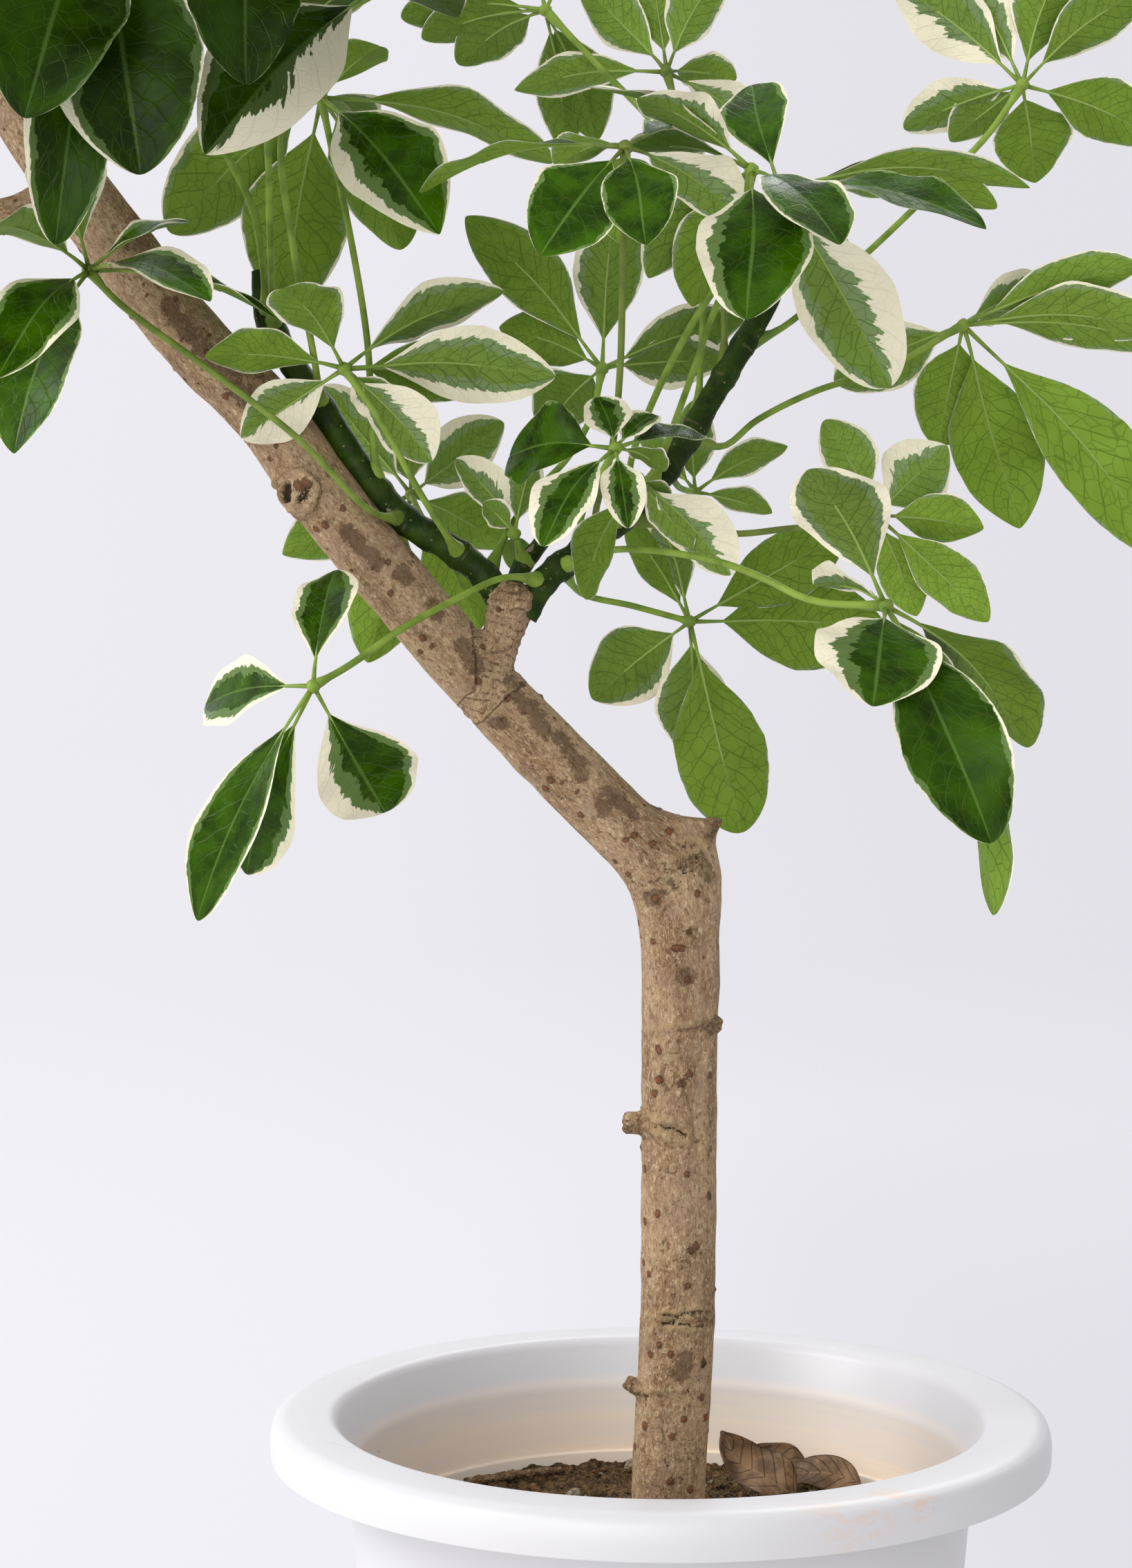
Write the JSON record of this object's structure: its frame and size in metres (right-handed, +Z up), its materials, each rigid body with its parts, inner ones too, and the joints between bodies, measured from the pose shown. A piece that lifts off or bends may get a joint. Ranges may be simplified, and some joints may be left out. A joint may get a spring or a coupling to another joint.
{
  "type": "potted umbrella plant",
  "caption": "Variegated umbrella plant with a bent, once pruned woody trunk and leafy shoots, in a round white plastic pot with a wide rolled rim.",
  "frame": {"origin": "middle of the pot's underside, on the surface it stands on", "axes": "+Z up; the picture looks along +Y, with +X to its right, so the trunk leans towards -X"},
  "size_m": [0.6439, 0.4043, 1.055],
  "materials": {
    "pot_plastic": "satin",
    "potting_soil": "rough",
    "bark": "rough",
    "green_stem": "satin",
    "leaf_blade": "glossy",
    "dry_litter": "matte"
  },
  "bodies": {
    "root": {"pot": "pot_plastic", "soil": "potting_soil", "trunk": "bark", "stem_left": "green_stem", "stem_right": "green_stem", "stem_middle": "green_stem", "dry_leaf_1": "dry_litter", "dry_leaf_2": "dry_litter", "dry_leaf_3": "dry_litter", "leaf_crown_1": "leaf_blade", "leaf_crown_10": "leaf_blade", "leaf_crown_11": "leaf_blade", "leaf_crown_12": "leaf_blade", "leaf_crown_2": "leaf_blade", "leaf_crown_3": "leaf_blade", "leaf_crown_4": "leaf_blade", "leaf_crown_5": "leaf_blade", "leaf_crown_6": "leaf_blade", "leaf_crown_7": "leaf_blade", "leaf_crown_8": "leaf_blade", "leaf_crown_9": "leaf_blade", "leaf_left_1": "leaf_blade", "leaf_left_2": "leaf_blade", "leaf_left_3": "leaf_blade", "leaf_left_4": "leaf_blade", "leaf_left_5": "leaf_blade", "leaf_middle_1": "leaf_blade", "leaf_right_1": "leaf_blade", "leaf_right_10": "leaf_blade", "leaf_right_11": "leaf_blade", "leaf_right_12": "leaf_blade", "leaf_right_13": "leaf_blade", "leaf_right_14": "leaf_blade", "leaf_right_2": "leaf_blade", "leaf_right_3": "leaf_blade", "leaf_right_4": "leaf_blade", "leaf_right_5": "leaf_blade", "leaf_right_6": "leaf_blade", "leaf_right_7": "leaf_blade", "leaf_right_8": "leaf_blade", "leaf_right_9": "leaf_blade", "leaf_top_1": "leaf_blade", "leaf_top_2": "leaf_blade", "leaf_top_3": "leaf_blade", "twig": "dry_litter"}
  },
  "joints": []
}
